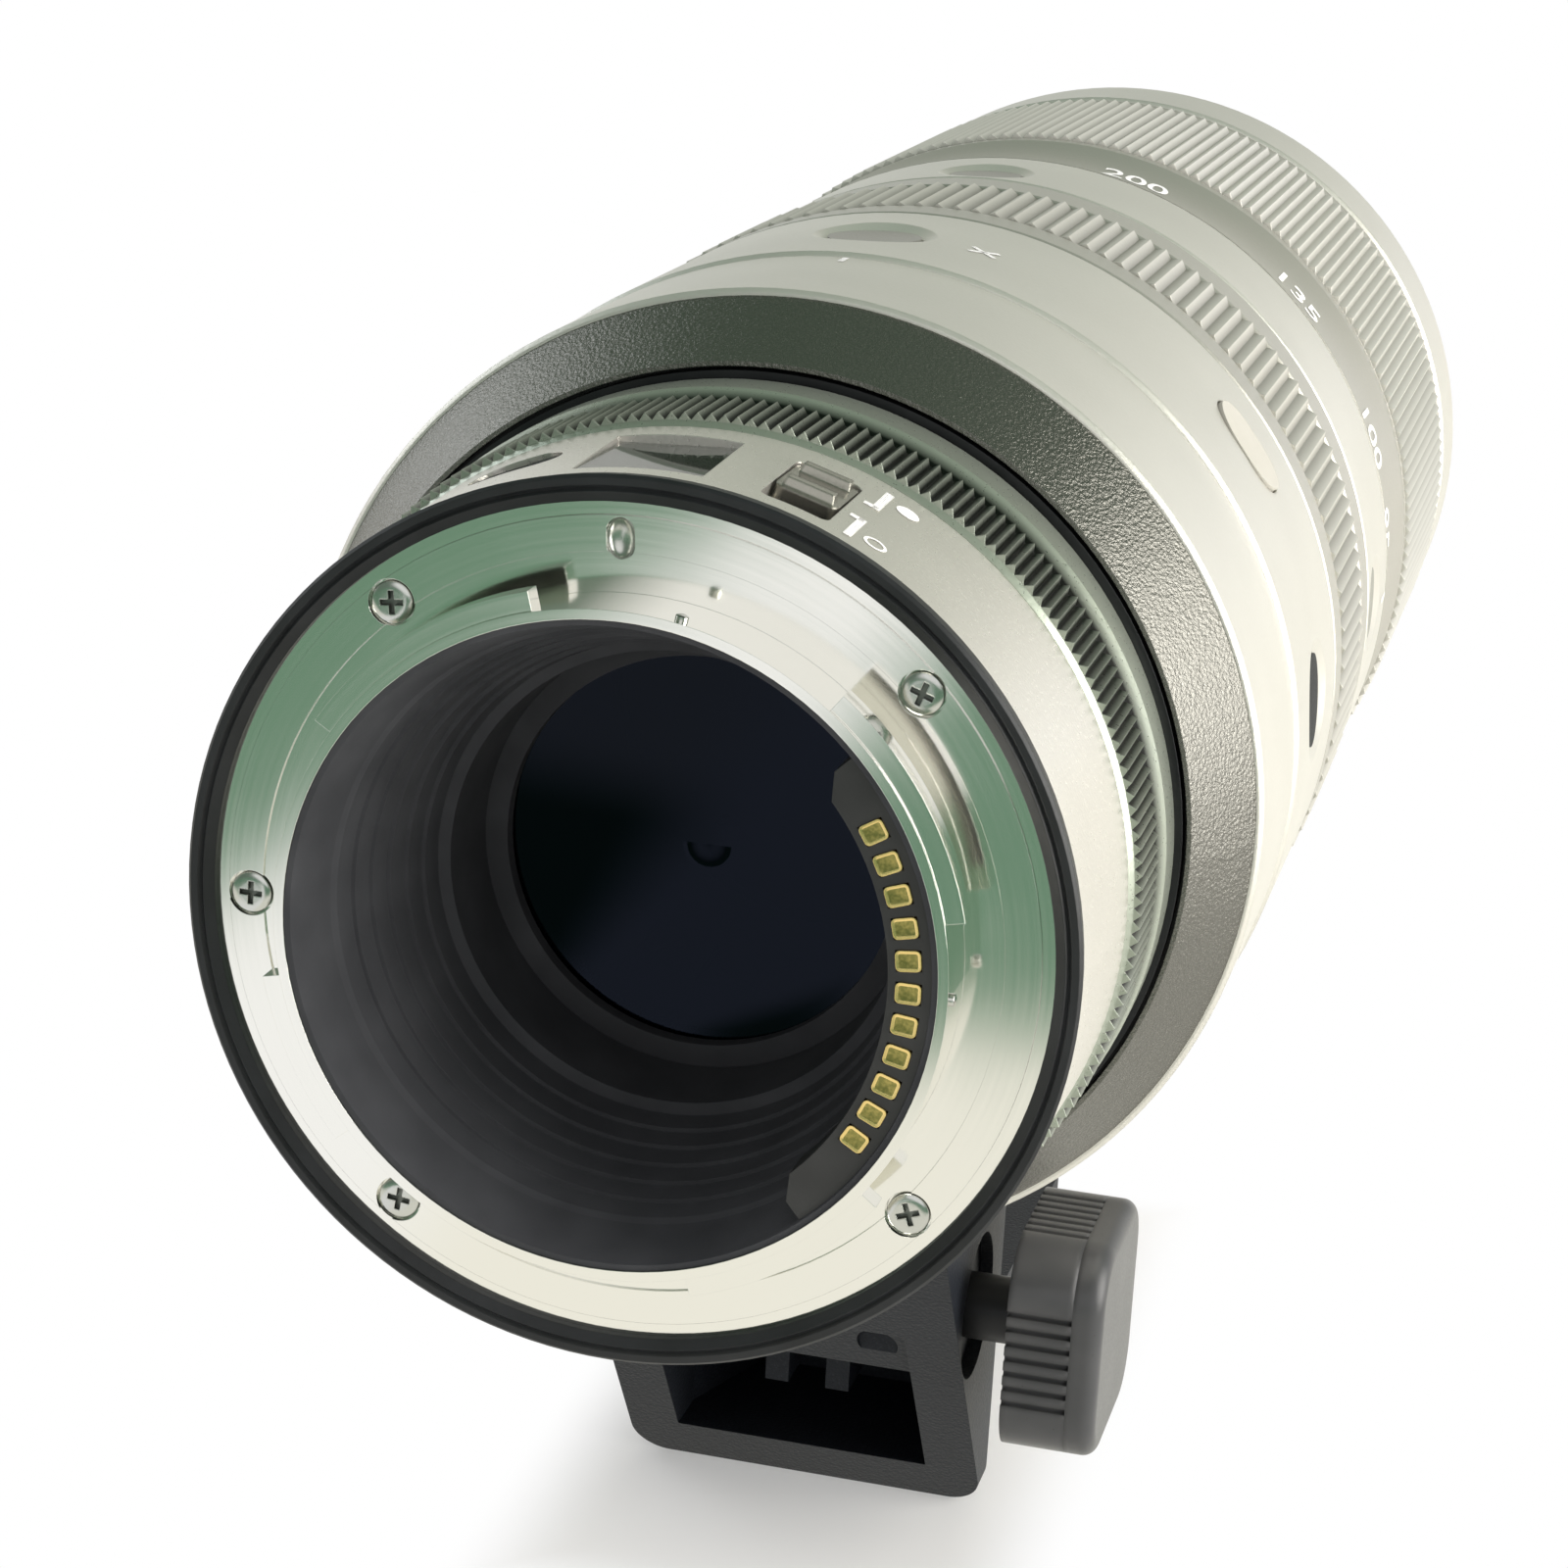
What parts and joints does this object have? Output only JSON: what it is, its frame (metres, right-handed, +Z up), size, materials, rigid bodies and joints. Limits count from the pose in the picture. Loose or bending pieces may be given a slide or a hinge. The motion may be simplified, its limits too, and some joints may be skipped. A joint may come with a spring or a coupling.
{
  "type": "tele zoom camera lens with tripod collar",
  "caption": "Tele zoom camera lens with bayonet mount, control, focus and zoom rings, buttons, and a rotating tripod collar whose foot is held by a clamp knob.",
  "frame": {"origin": "centre of the mount flange's seat, on the optical axis", "axes": "+Y forwards along the optical axis, from the camera towards the subject; +Z up, away from the tripod foot; +X to the right as seen by someone behind the lens"},
  "size_m": [0.0884, 0.2255, 0.1262],
  "materials": {
    "barrel_paint": "pale warm-grey satin paint with a fine grain",
    "bevel_paint": "dark grained paint",
    "foot_paint": "charcoal grained paint",
    "knob_plastic": "dark satin moulding",
    "mount_metal": "turned and plated mount metal",
    "screw_steel": "plated screw steel",
    "seal_rubber": "black sealing rubber",
    "contact_plastic": "black moulded plastic",
    "contact_gold": "gold-plated contacts",
    "baffle_black": "matt black light trap",
    "inner_alloy": "black anodised",
    "inner_plastic": "black moulded plastic",
    "roller_brass": "turned brass",
    "lens_glass": "coated optical glass",
    "window_glass": "clear cover window",
    "display_black": "dark display panel",
    "board_green": "circuit board",
    "switch_plastic": "dark moulded switch",
    "button_plastic": "pale satin button"
  },
  "bodies": {
    "tripod_collar": {"collar_rear_cover": "bevel_paint", "collar_ring": "barrel_paint", "collar_liner": "inner_plastic", "collar_neck": "foot_paint", "tripod_foot": "foot_paint", "tripod_bush": "screw_steel", "foot_screw": "screw_steel"},
    "clamp_jaw": {"clamp_jaw": "inner_alloy"},
    "clamp_knob": {"clamp_knob": "knob_plastic", "clamp_screw": "screw_steel", "knob_cap": "knob_plastic"},
    "lens_barrel": {"mount_ring": "mount_metal", "mount_screws": "screw_steel", "mount_gasket": "seal_rubber", "contact_block": "contact_plastic", "contact_pins": "contact_gold", "rear_baffle": "baffle_black", "rear_lens_cell": "inner_alloy", "rear_glass": "lens_glass", "main_barrel": "inner_alloy", "rear_housing": "barrel_paint", "display_window": "window_glass", "display_module": "display_black", "circuit_board": "board_green", "collar_retainer": "inner_alloy", "button_housing": "barrel_paint", "mid_housing": "barrel_paint", "fixed_barrel": "inner_alloy", "front_barrel": "barrel_paint", "filter_ring": "inner_alloy", "front_cell": "inner_alloy", "front_glass": "lens_glass", "front_retaining_ring": "inner_alloy", "guide_barrel": "inner_alloy", "iris_unit": "inner_plastic", "focus_rods": "screw_steel", "focus_motor": "inner_plastic"},
    "zoom_ring": {"zoom_ring": "barrel_paint", "zoom_key": "screw_steel", "cam_barrel": "inner_alloy"},
    "focus_ring": {"focus_ring": "barrel_paint"},
    "control_ring": {"control_ring": "barrel_paint"},
    "mode_switch": {"mode_switch": "switch_plastic"},
    "display_button": {"display_button": "switch_plastic"},
    "function_button_top": {"function_button_top": "button_plastic"},
    "function_button_side": {"function_button_side": "switch_plastic"},
    "memory_button": {"memory_button": "button_plastic"},
    "front_button_1": {"front_button_1": "button_plastic"},
    "front_button_2": {"front_button_2": "button_plastic"},
    "front_button_3": {"front_button_3": "button_plastic"},
    "front_button_4": {"front_button_4": "button_plastic"},
    "variator": {"variator_cell": "inner_alloy", "variator_glass": "lens_glass", "variator_rollers": "roller_brass"},
    "compensator": {"compensator_cell": "inner_alloy", "compensator_glass": "lens_glass", "compensator_rollers": "roller_brass"},
    "focus_group": {"focus_cell": "inner_alloy", "focus_glass": "lens_glass"}
  },
  "joints": [
    {"name": "collar_turn", "type": "hinge", "parent": "tripod_collar", "child": "lens_barrel", "pos_m": [0, 0.05, 0], "axis": [0, 1, 0], "continuous": true},
    {"name": "jaw_slide", "type": "slide", "parent": "tripod_collar", "child": "clamp_jaw", "axis": [1, 0, 0], "range_m": [0, 0.0012]},
    {"name": "knob_turn", "type": "hinge", "parent": "clamp_jaw", "child": "clamp_knob", "pos_m": [0.027, 0.064, -0.056], "axis": [1, 0, 0], "range_deg": [0, 540]},
    {"name": "zoom_turn", "type": "hinge", "parent": "lens_barrel", "child": "zoom_ring", "pos_m": [0, 0.173, 0], "axis": [0, 1, 0], "range_deg": [-9, 75]},
    {"name": "variator_slide", "type": "slide", "parent": "lens_barrel", "child": "variator", "axis": [0, 1, 0], "range_m": [-0.0215, 0.0026]},
    {"name": "compensator_slide", "type": "slide", "parent": "lens_barrel", "child": "compensator", "axis": [0, 1, 0], "range_m": [-0.0013, 0.0108]},
    {"name": "focus_turn", "type": "hinge", "parent": "lens_barrel", "child": "focus_ring", "pos_m": [0, 0.107, 0], "axis": [0, 1, 0], "continuous": true},
    {"name": "focus_slide", "type": "slide", "parent": "lens_barrel", "child": "focus_group", "axis": [0, 1, 0], "range_m": [-0.0035, 0.0035]},
    {"name": "control_turn", "type": "hinge", "parent": "lens_barrel", "child": "control_ring", "pos_m": [0, 0.027, 0], "axis": [0, 1, 0], "continuous": true},
    {"name": "mode_slide", "type": "slide", "parent": "lens_barrel", "child": "mode_switch", "axis": [0, -1, 0], "range_m": [0, 0.0034]},
    {"name": "display_button_press", "type": "slide", "parent": "lens_barrel", "child": "display_button", "axis": [0.3827, 0, -0.9239], "range_m": [0, 0.0003], "stiffness_N_per_m": 1500, "springref_m": -0.0003},
    {"name": "function_button_top_press", "type": "slide", "parent": "lens_barrel", "child": "function_button_top", "axis": [0.0349, 0, -0.9994], "range_m": [0, 0.0005], "stiffness_N_per_m": 1500, "springref_m": -0.0005},
    {"name": "function_button_side_press", "type": "slide", "parent": "lens_barrel", "child": "function_button_side", "axis": [-0.9962, 0, -0.0872], "range_m": [0, 0.0005], "stiffness_N_per_m": 1500, "springref_m": -0.0005},
    {"name": "memory_button_press", "type": "slide", "parent": "lens_barrel", "child": "memory_button", "axis": [-0.7934, 0, -0.6088], "range_m": [0, 0.0005], "stiffness_N_per_m": 1500, "springref_m": -0.0005},
    {"name": "front_button_1_press", "type": "slide", "parent": "lens_barrel", "child": "front_button_1", "axis": [0.0349, 0, -0.9994], "range_m": [0, 0.0005], "stiffness_N_per_m": 1500, "springref_m": -0.0005},
    {"name": "front_button_2_press", "type": "slide", "parent": "lens_barrel", "child": "front_button_2", "axis": [-0.9994, 0, -0.0349], "range_m": [0, 0.0005], "stiffness_N_per_m": 1500, "springref_m": -0.0005},
    {"name": "front_button_3_press", "type": "slide", "parent": "lens_barrel", "child": "front_button_3", "axis": [-0.0349, 0, 0.9994], "range_m": [0, 0.0005], "stiffness_N_per_m": 1500, "springref_m": -0.0005},
    {"name": "front_button_4_press", "type": "slide", "parent": "lens_barrel", "child": "front_button_4", "axis": [0.9994, 0, 0.0349], "range_m": [0, 0.0005], "stiffness_N_per_m": 1500, "springref_m": -0.0005}
  ],
  "couplings": [
    {"joint": "variator_slide", "follows": "zoom_turn", "m_per_rad": -0.01637},
    {"joint": "compensator_slide", "follows": "zoom_turn", "m_per_rad": 0.008185},
    {"joint": "knob_turn", "follows": "jaw_slide", "rad_per_m": 7853}
  ]
}
